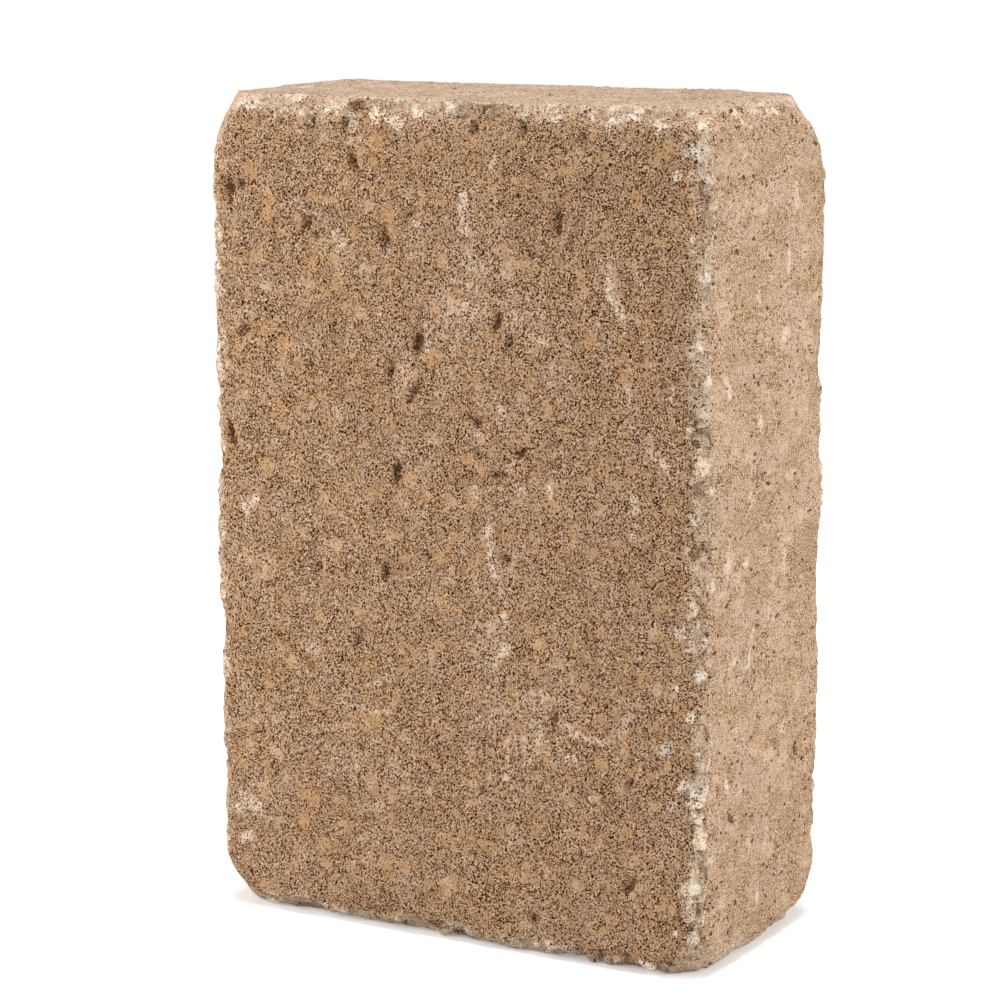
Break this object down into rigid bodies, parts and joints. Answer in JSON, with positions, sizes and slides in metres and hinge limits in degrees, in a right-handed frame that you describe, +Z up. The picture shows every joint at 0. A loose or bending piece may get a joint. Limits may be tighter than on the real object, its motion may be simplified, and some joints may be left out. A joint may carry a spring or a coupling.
{
  "type": "retaining wall block",
  "caption": "Flat rectangular concrete block with tumbled arrises and knocked corners, laid flat or on edge to build low retaining walls and borders.",
  "frame": {"origin": "middle of the end that the block stands on", "axes": "+Z up along the block's length, +X across its width, +Y through its thickness from the front wide side to the back one"},
  "size_m": [0.1778, 0.0888, 0.2667],
  "materials": {
    "concrete": "matt, open-grained tan concrete with dark pits, pale scuffs and bare aggregate along the arrises"
  },
  "bodies": {
    "root": {"wall_block": "concrete"}
  },
  "joints": []
}
